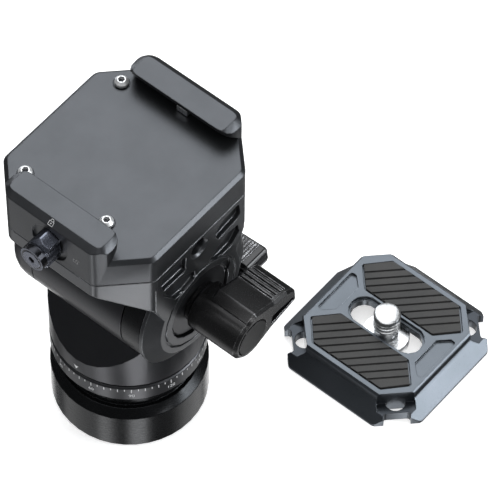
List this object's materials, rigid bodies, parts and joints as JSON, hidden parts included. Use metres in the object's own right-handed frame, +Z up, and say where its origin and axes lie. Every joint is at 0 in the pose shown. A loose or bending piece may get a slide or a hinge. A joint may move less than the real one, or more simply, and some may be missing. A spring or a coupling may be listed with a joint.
{
  "type": "fluid video head",
  "caption": "Compact fluid video head with pan and tilt drag, lever clamp rails, degree ring and a lifted-off quick-release plate with camera screw.",
  "frame": {"origin": "centre of the flat plate seat on top of the platform, where the pan axis meets it", "axes": "+Z up along the pan axis, +X along the tilt axis towards the tilt lock knob, +Y to the back, towards the pan lock"},
  "size_m": [0.0806, 0.0974, 0.09],
  "materials": {
    "anodised": "satin dark grey anodising",
    "knob": "satin dark grey, soft reflections",
    "inlay": "fine turned dark grey",
    "plate": "satin grey anodising",
    "rubber": "ribbed, matt",
    "steel": "bright",
    "brass": "turned",
    "polymer": "moulded"
  },
  "bodies": {
    "base": {"base_shell": "anodised", "thread_insert": "steel", "adapter_bush": "brass", "pan_spindle": "steel", "pan_drag_disc_fixed": "brass", "scale_ring": "anodised", "pan_brake_drum": "steel", "pan_nut": "steel"},
    "pan": {"pan_body": "anodised", "pan_bearing_washer": "polymer", "pan_drag_disc_turning": "brass", "barrel_cap_left": "anodised", "barrel_collar_right": "anodised", "tilt_damping_cup": "polymer", "counterbalance_spring": "steel", "pan_brake_shoe": "brass"},
    "pan_lock": {"pan_lock_knob": "knob", "pan_lock_inlay": "inlay", "pan_lock_stem": "steel"},
    "tilt": {"saddle_cheek": "anodised", "clamp_plate": "anodised", "clamp_screw_1": "steel", "clamp_screw_2": "steel", "clamp_screw_3": "steel", "tilt_axle": "steel", "spring_anchor_plate": "steel", "tilt_brake_washer": "brass", "tilt_thrust_washer": "steel", "lever_spring": "steel", "trigger_spring": "steel"},
    "tilt_lock": {"tilt_lock_knob": "knob", "tilt_lock_inlay": "inlay", "tilt_lock_stem": "steel"},
    "lever": {"clamp_lever": "knob", "lever_cap": "inlay", "cam_shaft": "steel"},
    "jaw": {"jaw_bar": "steel"},
    "trigger": {"release_trigger": "steel"},
    "plate": {"plate_body": "plate", "pad_back": "rubber", "pad_front": "rubber"},
    "carriage": {"retaining_washer": "steel"},
    "stud": {"camera_screw": "steel"}
  },
  "joints": [
    {"name": "pan_turn", "type": "hinge", "parent": "base", "child": "pan", "pos_m": [0, 0, -0.064], "axis": [0, 0, 1], "continuous": true},
    {"name": "tilt_turn", "type": "hinge", "parent": "pan", "child": "tilt", "pos_m": [0, 0, -0.0325], "axis": [1, 0, 0], "range_deg": [-60, 80]},
    {"name": "pan_lock_turn", "type": "hinge", "parent": "pan", "child": "pan_lock", "pos_m": [0.004, 0.0229, -0.0505], "axis": [0, 1, 0], "range_deg": [0, 90]},
    {"name": "tilt_lock_turn", "type": "hinge", "parent": "tilt", "child": "tilt_lock", "pos_m": [0.029, 0, -0.0325], "axis": [1, 0, 0], "range_deg": [0, 90]},
    {"name": "lever_turn", "type": "hinge", "parent": "tilt", "child": "lever", "pos_m": [0, -0.0273, -0.0026], "axis": [0, 1, 0], "range_deg": [0, 90]},
    {"name": "jaw_slide", "type": "slide", "parent": "tilt", "child": "jaw", "axis": [0, -1, 0], "range_m": [0, 0.001]},
    {"name": "trigger_slide", "type": "slide", "parent": "tilt", "child": "trigger", "axis": [0, 1, 0], "range_m": [0, 0.0024], "stiffness_N_per_m": 100, "springref_m": -0.0001, "deforming": ["trigger_spring"]},
    {"name": "plate_lift", "type": "slide", "parent": "base", "child": "plate", "axis": [0, 0, 1], "range_m": [0, 0.1]},
    {"name": "carriage_slide", "type": "slide", "parent": "plate", "child": "carriage", "axis": [1, 0, 0], "range_m": [-0.007, 0.007]},
    {"name": "stud_turn", "type": "hinge", "parent": "carriage", "child": "stud", "pos_m": [0.0387, 0.0465, -0.0805], "axis": [0, 0, 1], "continuous": true}
  ],
  "couplings": [
    {"joint": "lever_turn", "follows": "jaw_slide", "rad_per_m": 1570.8}
  ]
}
